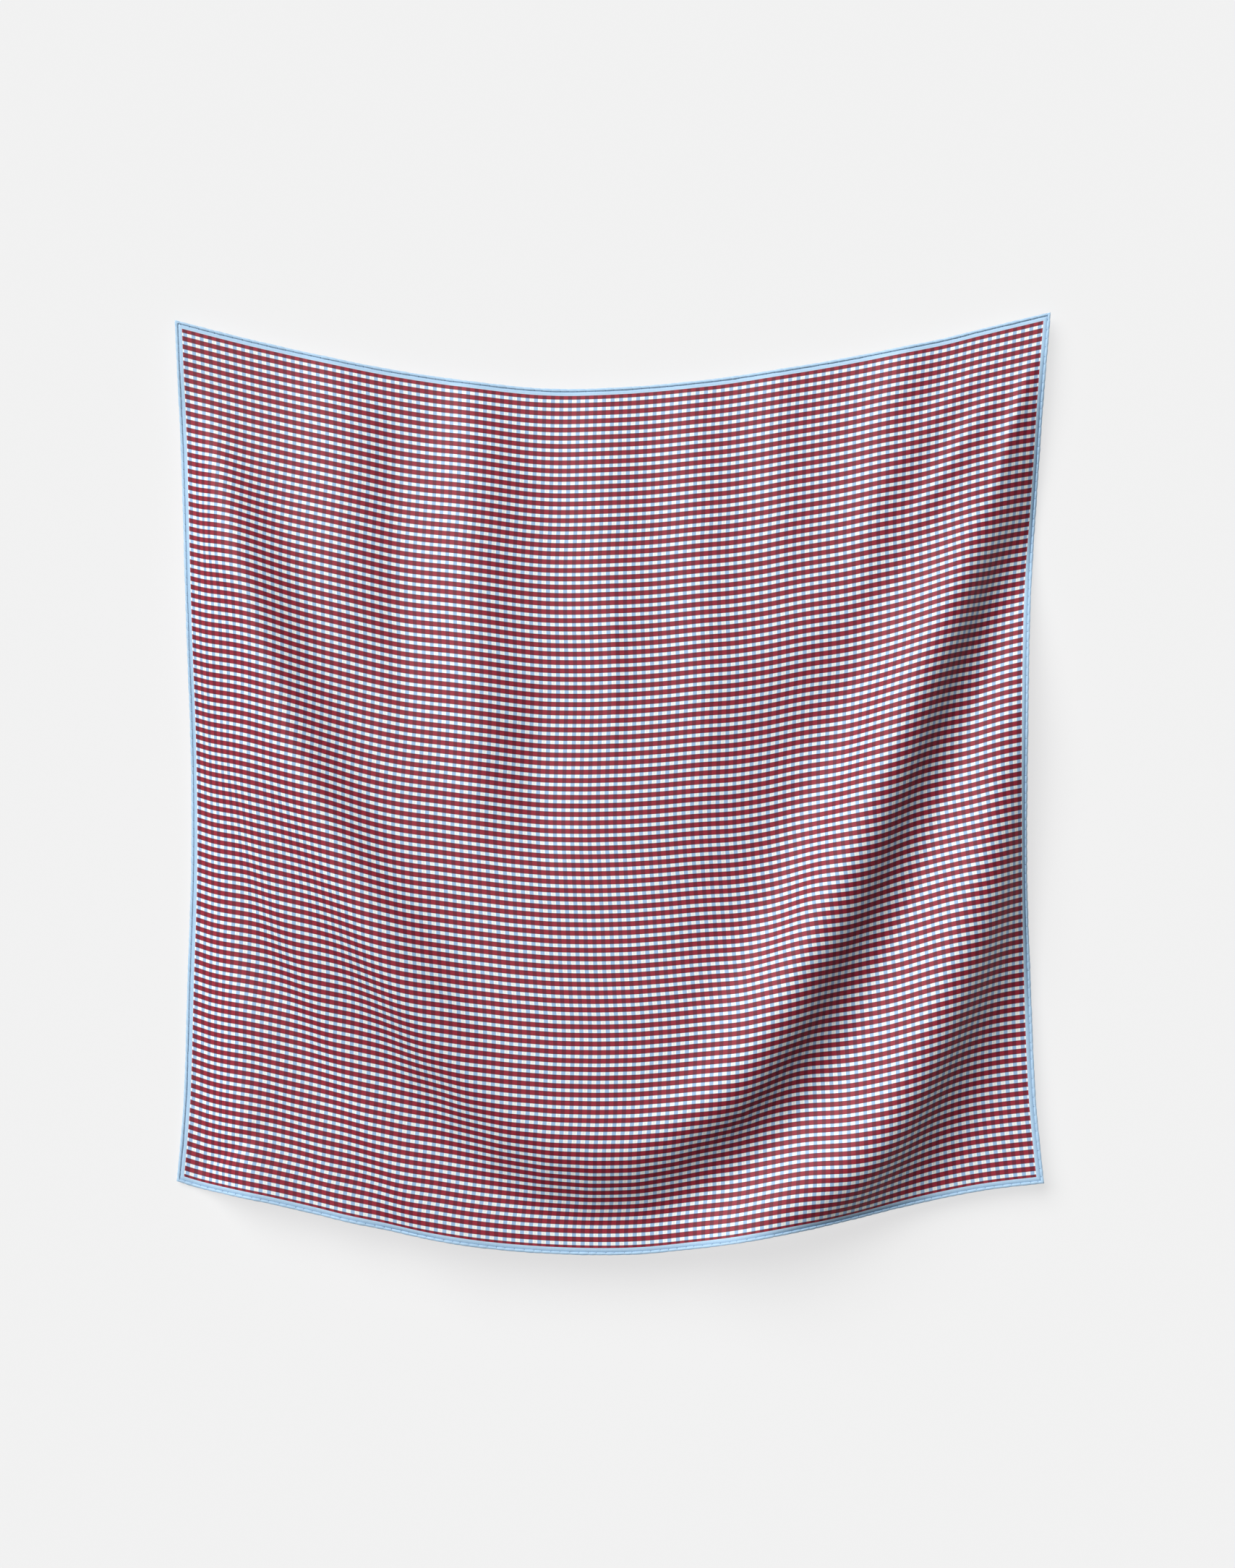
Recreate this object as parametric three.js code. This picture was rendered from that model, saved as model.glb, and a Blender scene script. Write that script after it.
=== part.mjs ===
// A square silk scarf with a hand-rolled hem, held by its two top corners and hanging open.
// One sheet of cloth is one closed solid: its top edge sags between the corners and its folds
// fall as swags from one corner round to the other.
//
// Frame: millimetres, +Z up, +X to the right as seen from the front, -Y towards the viewer.
// The origin is midway between the two held corners.
//
// A place on the cloth is given flat, as it was cut: `across` from the left hem and `down` from
// the top hem. `lift` is how far that place stands out towards the viewer.

import * as THREE from 'three';

// the cut square, hems included, before it is hung
const CUT_ACROSS = 900;
const CUT_DOWN = 882;

// the sheet, and the roll that its hem is turned into, towards the front
const CLOTH_THICK = 1.2;
const HEM_ROLL = 3;

// the cloth between its folds stands out a little, like a slack sail
const BELLY = 10;

// how much further out than its held corners the cloth's foot hangs
const STAND_OUT = 66;

// a fold narrows to this share of its width where it dies away
const NARROWEST = 0.4;

// a thread covers at least this share of its own length, however steep its fold is
const LEAST_COVER = 0.3;

const PANEL_CELLS = 47; // grid cells over the panel between its hems, each way
const THREAD_STEPS = 180; // steps along a thread when its hung length is worked out
const FOLD_STEPS = 47; // straight steps along a fold's path

const SILK_COLOUR = 0xb48896; // the check's colours as they mix from a step away
const SILK_ROUGHNESS = 0.5;

// The four hems as they hang: x to the right and z up, from left to right or from top to bottom.
// Each is a smooth curve through its points.
const HEMS = {
  top: [
    [-438, -4], [-351, -26], [-235, -51], [-120, -68], [-33, -73],
    [83, -65], [198, -48], [314, -26], [372, -12], [438, 4],
  ],
  bottom: [
    [-437, -866], [-409, -874], [-351, -884], [-235, -910], [-120, -930], [-4, -936],
    [83, -929], [198, -909], [314, -885], [372, -874], [431, -867],
  ],
  left: [
    [-438, -4], [-431, -147], [-425, -320], [-422, -436], [-422, -552], [-426, -667],
    [-430, -783], [-437, -866],
  ],
  right: [
    [438, 4], [430, -89], [423, -205], [416, -320], [413, -436], [413, -552], [418, -667],
    [423, -783], [431, -867],
  ],
};

// The main folds, each along a smooth path over the flat cloth, [across, down]. A fold has a crest,
// given by lift and widths, or a drop to one side, given by drop and over, or both.
//   lift     height of the fold's crest; below zero it is a furrow
//   widths   how far its slope reaches on the path's right-hand and left-hand side, looking along it
//   drop     how much lower the cloth lies beyond the path's right-hand side
//   over     the width that this drop is spread over; both at the path's start, middle and end
//   fade     the share of the path over which the fold grows at its start and dies at its end
const FOLDS = [
  {
    name: 'swag from corner to corner',
    path: [
      [15, 15], [50, 150], [85, 275], [121, 376], [202, 555], [312, 704], [437, 766], [545, 727],
      [599, 668], [638, 600], [706, 488], [759, 374], [800, 263], [846, 150], [895, 15],
    ],
    drop: [10, 31, 36], over: [46, 94, 94], fade: [0.12, 0.1],
  },
  {
    name: 'crest of the swag, left',
    path: [[30, 70], [62, 216], [92, 335], [144, 454], [212, 573], [290, 672], [380, 735]],
    lift: 21, widths: [100, 48], fade: [0.25, 0.35],
  },
  {
    name: 'crest of the swag, right',
    path: [
      [437, 766], [545, 727], [599, 668], [638, 600], [706, 488], [759, 374], [800, 263],
      [846, 150],
    ],
    lift: 17, widths: [62, 46], fade: [0.3, 0.25],
  },
  {
    name: 'furrow inside the right crest',
    path: [[530, 650], [610, 535], [690, 335], [722, 220]],
    lift: -14, widths: [50, 85], fade: [0.3, 0.4],
  },
  {
    name: 'second swag, right',
    path: [
      [590, 890], [655, 838], [712, 792], [750, 735], [793, 650], [828, 570], [860, 480],
      [885, 385], [900, 200],
    ],
    lift: 22, widths: [78, 50], drop: [30, 30, 18], over: [120, 120, 90], fade: [0, 0.3],
  },
  {
    name: 'second swag, left',
    path: [[55, 300], [80, 440], [106, 560], [157, 672], [217, 790], [290, 880]],
    lift: 4, widths: [50, 38], drop: [12, 14, 14], over: [44, 50, 56], fade: [0.25, 0],
  },
  {
    name: 'left hem swept back',
    path: [[30, 30], [45, 215], [50, 470], [66, 690], [95, 890]],
    drop: [8, 20, 34], over: [50, 60, 80], fade: [0.15, 0],
  },
  {
    name: 'flute left of the middle',
    path: [[305, -60], [310, 270], [325, 520]],
    lift: 12, widths: [35, 46], fade: [0.3, 0.4],
  },
  {
    name: 'flute near the left corner',
    path: [[165, -60], [180, 355]],
    lift: 6, widths: [40, 48], fade: [0.3, 0.4],
  },
  {
    name: 'flute at the middle',
    path: [[430, -40], [455, 370]],
    lift: 4, widths: [30, 40], fade: [0.3, 0.4],
  },
  {
    name: 'flute right of the middle',
    path: [[525, -60], [540, 235], [552, 470]],
    lift: 3.5, widths: [30, 28], fade: [0.3, 0.4],
  },
  {
    name: 'flute at two thirds across',
    path: [[612, -60], [628, 250]],
    lift: 3.5, widths: [26, 26], fade: [0.3, 0.4],
  },
  {
    name: 'flute near the right corner',
    path: [[762, -60], [722, 150], [700, 290]],
    lift: 6, widths: [30, 30], fade: [0.3, 0.4],
  },
];

const smoothCurve = (points) => new THREE.SplineCurve(points.map(([x, y]) => new THREE.Vector2(x, y)));

const hemLine = Object.fromEntries(
  Object.entries(HEMS).map(([side, points]) => [side, smoothCurve(points)]),
);

// Each fold's path as short straight steps, with the share of its length at which each begins.
const foldSteps = FOLDS.map(({ path }) => {
  const points = smoothCurve(path).getPoints(FOLD_STEPS);
  const steps = points.slice(1).map((to, k) => ({
    from: points[k],
    along: to.clone().sub(points[k]),
    length: to.distanceTo(points[k]),
  }));
  const whole = steps.reduce((sum, step) => sum + step.length, 0);
  let done = 0;
  for (const step of steps) {
    step.start = done / whole;
    step.share = step.length / whole;
    done += step.length;
  }
  return steps;
});

// The nearest place on a fold's path: its distance, the side the cloth lies on, and its share.
function nearestOnPath(steps, across, down) {
  let nearest = { distance: Infinity };
  for (const { from, along, length, start, share } of steps) {
    const dx = across - from.x;
    const dy = down - from.y;
    const t = THREE.MathUtils.clamp((dx * along.x + dy * along.y) / length ** 2, 0, 1);
    const distance = Math.hypot(dx - t * along.x, dy - t * along.y);
    if (distance < nearest.distance) {
      nearest = { distance, rightHand: along.x * dy - along.y * dx > 0, at: start + t * share };
    }
  }
  return nearest;
}

const ramp = (value, reach) => (reach > 0 ? THREE.MathUtils.smoothstep(value, 0, reach) : 1);

// Smooth change from the first value to the middle one halfway, and from there to the last.
const onTheWay = ([start, middle, end], at) => (
  start + (middle - start) * ramp(at, 0.5) + (end - middle) * ramp(at - 0.5, 0.5)
);

// One fold's lift: a bell across its path, and on the right-hand side a smooth step down.
function foldLift(fold, steps, across, down) {
  const { distance, rightHand, at } = nearestOnPath(steps, across, down);
  const strength = ramp(at, fold.fade[0]) * ramp(1 - at, fold.fade[1]);
  const reach = distance / THREE.MathUtils.lerp(NARROWEST, 1, strength);
  let lift = 0;
  if (fold.lift) {
    lift += fold.lift * Math.exp(-((reach / fold.widths[rightHand ? 0 : 1]) ** 2));
  }
  if (fold.drop && rightHand) {
    lift -= onTheWay(fold.drop, at) * ramp(reach, onTheWay(fold.over, at));
  }
  return strength * lift;
}

// The cloth's lift: its standing out, which grows quickly below the corners and slowly towards
// the foot, a belly that is highest in the middle, and every fold.
function liftAt(across, down) {
  const fallen = down / CUT_DOWN;
  const standing = (STAND_OUT * fallen * (3 - fallen)) / 2;
  const belly = BELLY * Math.sin((Math.PI * across) / CUT_ACROSS) * Math.sin((Math.PI * down) / CUT_DOWN);
  const folds = FOLDS.map((fold, k) => foldLift(fold, foldSteps[k], across, down));
  return folds.reduce((sum, lift) => sum + lift, standing + belly);
}

// How far along its hung length a thread has come at each grid line, from 0 to 1. Each step of
// the thread keeps its length, so where the cloth slopes towards or away from the viewer it
// covers less of the hanging plane.
function threadCover(lines, liftAlong) {
  const step = lines.at(-1) / THREAD_STEPS;
  const covered = [0];
  for (let k = 0; k < THREAD_STEPS; k += 1) {
    const rise = liftAlong((k + 1) * step) - liftAlong(k * step);
    const cover = Math.sqrt(Math.max(step ** 2 - rise ** 2, (LEAST_COVER * step) ** 2));
    covered.push(covered[k] + cover);
  }
  return lines.map((line) => {
    const k = Math.min(Math.floor(line / step), THREAD_STEPS - 1);
    return THREE.MathUtils.lerp(covered[k], covered[k + 1], line / step - k) / covered[THREAD_STEPS];
  });
}

// The place on the hanging plane between the four hem lines: the sum of the blend from left hem
// to right hem and the blend from top hem to bottom hem, less the blend of the four corners.
function hungPlace(share, fall) {
  const blend = (a, b, t) => a.clone().lerp(b, t);
  const sides = blend(hemLine.left.getPointAt(fall), hemLine.right.getPointAt(fall), share);
  const ends = blend(hemLine.top.getPointAt(share), hemLine.bottom.getPointAt(share), fall);
  const topCorners = blend(hemLine.top.getPointAt(0), hemLine.top.getPointAt(1), share);
  const bottomCorners = blend(hemLine.bottom.getPointAt(0), hemLine.bottom.getPointAt(1), share);
  return sides.add(ends).sub(blend(topCorners, bottomCorners, fall));
}

// Grid lines over one direction of the cut cloth: the nose, crown and foot of each hem's roll,
// and even lines over the panel.
function gridLines(cut) {
  const panel = Array.from({ length: PANEL_CELLS + 1 }, (_, k) => (
    HEM_ROLL + ((cut - 2 * HEM_ROLL) * k) / PANEL_CELLS
  ));
  return [0, HEM_ROLL / 2, ...panel, cut - HEM_ROLL / 2, cut];
}

// The front face stands half the cloth's thickness off the middle surface, and the hem's roll
// rounds up to its whole thickness.
function frontOffset(fromHem) {
  const plain = CLOTH_THICK / 2;
  const round = Math.sqrt(Math.max(0, 1 - ((2 * fromHem) / HEM_ROLL - 1) ** 2));
  return plain + (HEM_ROLL - CLOTH_THICK) * round;
}

function scarfGeometry() {
  const acrossLines = gridLines(CUT_ACROSS);
  const downLines = gridLines(CUT_DOWN);
  const columns = acrossLines.length;
  const rows = downLines.length;

  const shares = downLines.map((down) => threadCover(acrossLines, (across) => liftAt(across, down)));
  const falls = acrossLines.map((across) => threadCover(downLines, (down) => liftAt(across, down)));

  const middle = downLines.map((down, row) => acrossLines.map((across, column) => {
    const place = hungPlace(shares[row][column], falls[column][row]);
    return new THREE.Vector3(place.x, -liftAt(across, down), place.y);
  }));

  const towardsViewer = (row, column) => {
    const left = middle[row][Math.max(column - 1, 0)];
    const right = middle[row][Math.min(column + 1, columns - 1)];
    const above = middle[Math.max(row - 1, 0)][column];
    const below = middle[Math.min(row + 1, rows - 1)][column];
    const rightwards = right.clone().sub(left);
    const upwards = above.clone().sub(below);
    return rightwards.cross(upwards).normalize();
  };

  const front = [];
  const back = [];
  for (let row = 0; row < rows; row += 1) {
    for (let column = 0; column < columns; column += 1) {
      const fromHem = Math.min(
        acrossLines[column], CUT_ACROSS - acrossLines[column],
        downLines[row], CUT_DOWN - downLines[row],
      );
      const normal = towardsViewer(row, column);
      front.push(...middle[row][column].clone().addScaledVector(normal, frontOffset(fromHem)));
      back.push(...middle[row][column].clone().addScaledVector(normal, -CLOTH_THICK / 2));
    }
  }

  // every cell is two triangles on the front, and the same two turned over on the back. Their
  // shared side runs as the swags do: down to the right on the left half, down to the left on
  // the right half.
  const count = rows * columns;
  const at = (row, column) => row * columns + column;
  const index = [];
  const quad = (a, b, c, d) => index.push(a, b, c, a, c, d);
  for (let row = 0; row < rows - 1; row += 1) {
    for (let column = 0; column < columns - 1; column += 1) {
      const corners = [at(row, column), at(row + 1, column), at(row + 1, column + 1), at(row, column + 1)];
      if (acrossLines[column] > CUT_ACROSS / 2) {
        corners.push(corners.shift());
      }
      const [a, b, c, d] = corners;
      quad(a, b, c, d);
      quad(a + count, d + count, c + count, b + count);
    }
  }

  // a narrow wall closes the sheet all round its rim
  const rim = [];
  for (let row = 0; row < rows - 1; row += 1) {
    rim.push(at(row, 0));
  }
  for (let column = 0; column < columns - 1; column += 1) {
    rim.push(at(rows - 1, column));
  }
  for (let row = rows - 1; row > 0; row -= 1) {
    rim.push(at(row, columns - 1));
  }
  for (let column = columns - 1; column > 0; column -= 1) {
    rim.push(at(0, column));
  }
  rim.forEach((here, k) => {
    const next = rim[(k + 1) % rim.length];
    quad(next, here, here + count, next + count);
  });

  const geometry = new THREE.BufferGeometry();
  geometry.setAttribute('position', new THREE.Float32BufferAttribute([...front, ...back], 3));
  geometry.setIndex(index);
  geometry.computeVertexNormals();
  return geometry;
}

const silk = new THREE.MeshStandardMaterial({
  color: SILK_COLOUR,
  roughness: SILK_ROUGHNESS,
  metalness: 0,
  side: THREE.DoubleSide,
});

const scarf = new THREE.Mesh(scarfGeometry(), silk);
scarf.name = 'scarf';

const part = new THREE.Group();
part.name = 'hanging_scarf';
part.add(scarf);

export default part;
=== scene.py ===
"""A square silk scarf with a hand-rolled hem, hanging open by its two top corners.

The cloth is given flat, as it was cut: `across` from the left hem and `down` from the top hem, in
millimetres. Its lift is how far a place stands out towards the viewer. Everything in the tables is
in millimetres, and a mesh gets its metres when it is built.

Frame: +Z up, +X to the right as seen from the front, -Y towards the viewer. The origin is midway
between the two held corners.
"""

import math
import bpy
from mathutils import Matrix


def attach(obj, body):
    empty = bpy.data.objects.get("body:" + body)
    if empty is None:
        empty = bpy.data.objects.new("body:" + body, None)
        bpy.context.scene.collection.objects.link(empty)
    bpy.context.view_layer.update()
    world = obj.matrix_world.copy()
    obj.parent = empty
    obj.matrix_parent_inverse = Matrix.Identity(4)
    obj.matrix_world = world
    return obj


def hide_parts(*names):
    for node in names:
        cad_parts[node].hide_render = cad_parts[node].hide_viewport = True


bl_info = {
    "name": "Hanging Silk Scarf",
    "version": (1, 0, 0),
    "blender": (4, 5, 0),
    "location": "View3D > Sidebar > Silk Scarf",
    "description": "Hangs a checked silk square by its top corners and rolls and stitches its hem",
    "category": "Add Mesh",
}

from collections import namedtuple

import bpy
import numpy as np
from bpy.props import FloatProperty, FloatVectorProperty, IntProperty, PointerProperty
from mathutils import Vector

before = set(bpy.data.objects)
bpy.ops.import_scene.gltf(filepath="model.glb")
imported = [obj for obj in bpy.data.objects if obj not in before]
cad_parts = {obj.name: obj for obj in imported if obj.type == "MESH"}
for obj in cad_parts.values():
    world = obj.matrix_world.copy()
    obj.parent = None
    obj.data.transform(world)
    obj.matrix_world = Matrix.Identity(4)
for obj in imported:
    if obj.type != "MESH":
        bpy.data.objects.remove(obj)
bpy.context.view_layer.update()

MM = 0.001
CLOTH_NODE = "scarf"

# the four hems as they hang: x to the right and z up, left to right or top to bottom
HEMS = {
    "top": (
        (-438, -4), (-351, -26), (-235, -51), (-120, -68), (-33, -73),
        (83, -65), (198, -48), (314, -26), (372, -12), (438, 4),
    ),
    "bottom": (
        (-437, -866), (-409, -874), (-351, -884), (-235, -910), (-120, -930), (-4, -936),
        (83, -929), (198, -909), (314, -885), (372, -874), (431, -867),
    ),
    "left": (
        (-438, -4), (-431, -147), (-425, -320), (-422, -436), (-422, -552), (-426, -667),
        (-430, -783), (-437, -866),
    ),
    "right": (
        (438, 4), (430, -89), (423, -205), (416, -320), (413, -436), (413, -552), (418, -667),
        (423, -783), (431, -867),
    ),
}

# A fold runs along a smooth path over the flat cloth. It has a crest, given by lift and widths,
# or a drop to one side, given by drop and over, or both.
#   lift     height of the crest; below zero it is a furrow
#   widths   how far its slope reaches on the path's right-hand and left-hand side
#   drop     how much lower the cloth lies beyond the right-hand side, at the start, middle and end
#   over     the width that this drop is spread over, at the start, middle and end
#   fade     the share of the path over which the fold grows at its start and dies at its end
Fold = namedtuple(
    "Fold", "name path lift widths drop over fade",
    defaults=(0, (1, 1), (0, 0, 0), (1, 1, 1), (0.3, 0.3)),
)

FOLDS = (
    Fold(
        "swag from corner to corner",
        ((15, 15), (50, 150), (85, 275), (121, 376), (202, 555), (312, 704), (437, 766), (545, 727),
         (599, 668), (638, 600), (706, 488), (759, 374), (800, 263), (846, 150), (895, 15)),
        drop=(10, 31, 36), over=(46, 94, 94), fade=(0.12, 0.1),
    ),
    Fold(
        "crest of the swag, left",
        ((30, 70), (62, 216), (92, 335), (144, 454), (212, 573), (290, 672), (380, 735)),
        lift=21, widths=(100, 48), fade=(0.25, 0.35),
    ),
    Fold(
        "crest of the swag, right",
        ((437, 766), (545, 727), (599, 668), (638, 600), (706, 488), (759, 374), (800, 263),
         (846, 150)),
        lift=17, widths=(62, 46), fade=(0.3, 0.25),
    ),
    Fold(
        "furrow inside the right crest",
        ((530, 650), (610, 535), (690, 335), (722, 220)),
        lift=-14, widths=(50, 85), fade=(0.3, 0.4),
    ),
    Fold(
        "second swag, right",
        ((590, 890), (655, 838), (712, 792), (750, 735), (793, 650), (828, 570), (860, 480),
         (885, 385), (900, 200)),
        lift=22, widths=(78, 50), drop=(30, 30, 18), over=(120, 120, 90), fade=(0, 0.3),
    ),
    Fold(
        "second swag, left",
        ((55, 300), (80, 440), (106, 560), (157, 672), (217, 790), (290, 880)),
        lift=4, widths=(50, 38), drop=(12, 14, 14), over=(44, 50, 56), fade=(0.25, 0),
    ),
    Fold(
        "left hem swept back",
        ((30, 30), (45, 215), (50, 470), (66, 690), (95, 890)),
        drop=(8, 20, 34), over=(50, 60, 80), fade=(0.15, 0),
    ),
    Fold(
        "flute left of the middle",
        ((305, -60), (310, 270), (325, 520)),
        lift=12, widths=(35, 46), fade=(0.3, 0.4),
    ),
    Fold(
        "flute near the left corner",
        ((165, -60), (180, 355)),
        lift=6, widths=(40, 48), fade=(0.3, 0.4),
    ),
    Fold(
        "flute at the middle",
        ((430, -40), (455, 370)),
        lift=4, widths=(30, 40), fade=(0.3, 0.4),
    ),
    Fold(
        "flute right of the middle",
        ((525, -60), (540, 235), (552, 470)),
        lift=3.5, widths=(30, 28), fade=(0.3, 0.4),
    ),
    Fold(
        "flute at two thirds across",
        ((612, -60), (628, 250)),
        lift=3.5, widths=(26, 26), fade=(0.3, 0.4),
    ),
    Fold(
        "flute near the right corner",
        ((762, -60), (722, 150), (700, 290)),
        lift=6, widths=(30, 30), fade=(0.3, 0.4),
    ),
)

# softer and narrower creases between the main folds, in the same columns
CREASES = (
    Fold(
        "packing crease across",
        ((150, 415), (440, 420), (720, 412)),
        lift=0.5, widths=(7, 7), fade=(0.2, 0.2),
    ),
    Fold(
        "sharp crease below the middle of the top",
        ((454, 190), (455, 300), (453, 400)),
        lift=1.2, widths=(6, 7), fade=(0.3, 0.3),
    ),
    Fold(
        "hollow beside the left flute",
        ((222, 20), (232, 210), (246, 420)),
        lift=-3, widths=(22, 22), fade=(0.25, 0.4),
    ),
    Fold(
        "foot of the flute left of the middle",
        ((375, 290), (378, 390), (392, 520)),
        lift=-4, widths=(26, 30), fade=(0.4, 0.4),
    ),
    Fold(
        "outer wrinkle to the right corner",
        ((742, 216), (786, 150), (828, 92), (868, 44)),
        lift=2.6, widths=(14, 12), fade=(0.45, 0.35),
    ),
    Fold(
        "inner wrinkle to the right corner",
        ((700, 178), (750, 116), (804, 64), (860, 26)),
        lift=2, widths=(14, 12), fade=(0.45, 0.35),
    ),
    Fold(
        "sharp wrinkle into the right corner",
        ((838, 204), (856, 142), (873, 84), (889, 30)),
        lift=3, widths=(9, 8), fade=(0.4, 0.3),
    ),
    Fold(
        "brow of the second swag, right",
        ((636, 876), (700, 826), (752, 768), (798, 690), (832, 602), (858, 520), (878, 430)),
        lift=6, widths=(38, 36), fade=(0.15, 0.3),
    ),
    Fold(
        "low fold to the left hem's foot",
        ((52, 620), (72, 686), (107, 745), (150, 805), (190, 884)),
        lift=6, widths=(20, 34), fade=(0.35, 0),
    ),
    Fold(
        "crease to the left bottom corner",
        ((18, 866), (60, 834), (112, 792)),
        lift=-1.6, widths=(8, 8), fade=(0.1, 0.4),
    ),
)

FOLD_STEPS = 48  # points on a fold's path
HEM_STEPS = 400  # points on a hem line
BELLY = 10  # the cloth between its folds stands out a little, like a slack sail
STAND_OUT = 66  # how much further out than its held corners the cloth's foot hangs
NARROWEST = 0.4  # a fold narrows to this share of its width where it dies away
LEAST_COVER = 0.3  # a thread covers at least this share of its length, however steep its fold is


def colour(red, green, blue):
    """A screen colour of 0 to 255 as the linear light that Blender's colours are."""
    share = np.array((red, green, blue)) / 255
    return tuple(np.where(share <= 0.04045, share / 12.92, ((share + 0.055) / 1.055) ** 2.4))


class ScarfCloth(bpy.types.PropertyGroup):
    """The cut square and the sheet it is modelled as."""

    across: FloatProperty(
        name="Cut across", description="Width of the square, hems included, before it is hung",
        default=0.900, unit="LENGTH",
    )
    down: FloatProperty(
        name="Cut down", description="Height of the square, hems included, before it is hung",
        default=0.882, unit="LENGTH",
    )
    thickness: FloatProperty(
        name="Thickness", description="Thickness of the silk", default=0.0004, unit="LENGTH",
    )
    cells: IntProperty(
        name="Cells", description="Grid cells over the sheet, each way", default=206,
    )


class ScarfPrint(bpy.types.PropertyGroup):
    """The printed check and its plain border."""

    border: FloatProperty(
        name="Border", description="Width of the plain border, its hem included",
        default=0.0071, unit="LENGTH",
    )
    across_repeats: FloatProperty(
        name="Repeats across", description="Blue stripes from border to border", default=102.78,
    )
    down_repeats: FloatProperty(
        name="Repeats down", description="Red stripes from border to border", default=102.19,
    )
    ground: FloatVectorProperty(
        name="Ground", description="Unprinted silk", subtype="COLOR", default=colour(249, 251, 249),
    )
    ground_middle: FloatVectorProperty(
        name="Ground, middle", description="Middle of a ground square", subtype="COLOR",
        default=colour(238, 239, 232),
    )
    blue: FloatVectorProperty(
        name="Blue", description="Upright stripes", subtype="COLOR", default=colour(156, 190, 226),
    )
    red: FloatVectorProperty(
        name="Burgundy", description="Level stripes", subtype="COLOR", default=colour(152, 40, 56),
    )
    crossing: FloatVectorProperty(
        name="Crossing", description="Burgundy over blue", subtype="COLOR", default=colour(108, 32, 50),
    )
    edge: FloatVectorProperty(
        name="Stripe edge", description="Thin line where a burgundy stripe ends", subtype="COLOR",
        default=colour(78, 26, 48),
    )
    margin: FloatVectorProperty(
        name="Border colour", description="Plain border and hem", subtype="COLOR",
        default=colour(174, 206, 232),
    )


class ScarfHem(bpy.types.PropertyGroup):
    """The hand-rolled hem and its stitches."""

    width: FloatProperty(
        name="Roll width", description="Width of the hem's roll", default=0.003, unit="LENGTH",
    )
    height: FloatProperty(
        name="Roll height", description="How far the roll stands off the cloth's front",
        default=0.0015, unit="LENGTH",
    )
    stitch_pitch: FloatProperty(
        name="Stitch pitch", description="Distance from stitch to stitch", default=0.009,
        unit="LENGTH",
    )
    thread: FloatProperty(
        name="Thread", description="Thickness of the sewing silk", default=0.00035, unit="LENGTH",
    )
    thread_colour: FloatVectorProperty(
        name="Thread colour", description="Sewing silk", subtype="COLOR", default=colour(88, 122, 160),
    )


class ScarfStage(bpy.types.PropertyGroup):
    """Wall, light and camera."""

    wall_behind: FloatProperty(
        name="Wall", description="Distance of the wall behind the held corners", default=0.014,
        unit="LENGTH",
    )
    wall_size: FloatProperty(
        name="Wall size", description="Width and height of the wall", default=14.0, unit="LENGTH",
    )
    wall_colour: FloatVectorProperty(
        name="Wall colour", description="Matt paint, under the backdrop's own light",
        subtype="COLOR", default=(0.2, 0.2, 0.2),
    )
    wall_glow: FloatProperty(
        name="Wall glow", description="Light of the lit backdrop itself, which softens shadows on it",
        default=0.68,
    )
    key: FloatProperty(name="Key light", description="Strength of the main light", default=4.22)
    sky: FloatProperty(name="Room light", description="Strength of the light all round", default=0.05)


def smooth_curve(points, count):
    """Smooth curve through points, at count even shares of its steps.

    Between two points it is the cubic that passes both and runs there along half the line from
    the point before to the point after; beyond an end that end stands for its own neighbour.
    """
    points = np.asarray(points, float)
    last = len(points) - 1
    place = np.linspace(0, last, count)
    start = np.minimum(place.astype(int), last - 1)
    t = (place - start)[:, None]
    before, here = points[np.maximum(start - 1, 0)], points[start]
    there, after = points[start + 1], points[np.minimum(start + 2, last)]
    leave, arrive = (there - before) / 2, (after - here) / 2
    return (
        (2 * here - 2 * there + leave + arrive) * t**3
        + (-3 * here + 3 * there - 2 * leave - arrive) * t**2
        + leave * t
        + here
    )


def ramp(value, reach):
    """Smooth rise from 0 at zero to 1 at reach, flat at both ends: 3t squared less 2t cubed."""
    if np.ndim(reach) == 0 and reach <= 0:
        return np.ones_like(value)
    t = np.clip(value / reach, 0, 1)
    return t * t * (3 - 2 * t)


def on_the_way(values, share):
    """Smooth change from the first value to the middle one halfway, and from there to the last."""
    start, middle, end = values
    return start + (middle - start) * ramp(share, 0.5) + (end - middle) * ramp(share - 0.5, 0.5)


def nearest_on_path(path, across, down):
    """Distance to the path, whether the place lies on its right-hand side, and the share passed.

    The path is taken as short straight steps, and the nearest point over all of them is kept.
    """
    line = smooth_curve(path, FOLD_STEPS)
    steps = np.diff(line, axis=0)
    lengths = np.hypot(*steps.T)
    passed = np.concatenate(([0.0], np.cumsum(lengths))) / lengths.sum()
    nearest = np.full(across.shape, np.inf)
    turn = np.zeros(across.shape)
    share = np.zeros(across.shape)
    for start, step, length, begin, end in zip(line, steps, lengths, passed, passed[1:]):
        dx = across - start[0]
        dy = down - start[1]
        t = np.clip((dx * step[0] + dy * step[1]) / length**2, 0, 1)
        distance = np.hypot(dx - t * step[0], dy - t * step[1])
        closer = distance < nearest
        nearest = np.where(closer, distance, nearest)
        turn = np.where(closer, step[0] * dy - step[1] * dx, turn)
        share = np.where(closer, begin + t * (end - begin), share)
    return nearest, turn > 0, share


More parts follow.
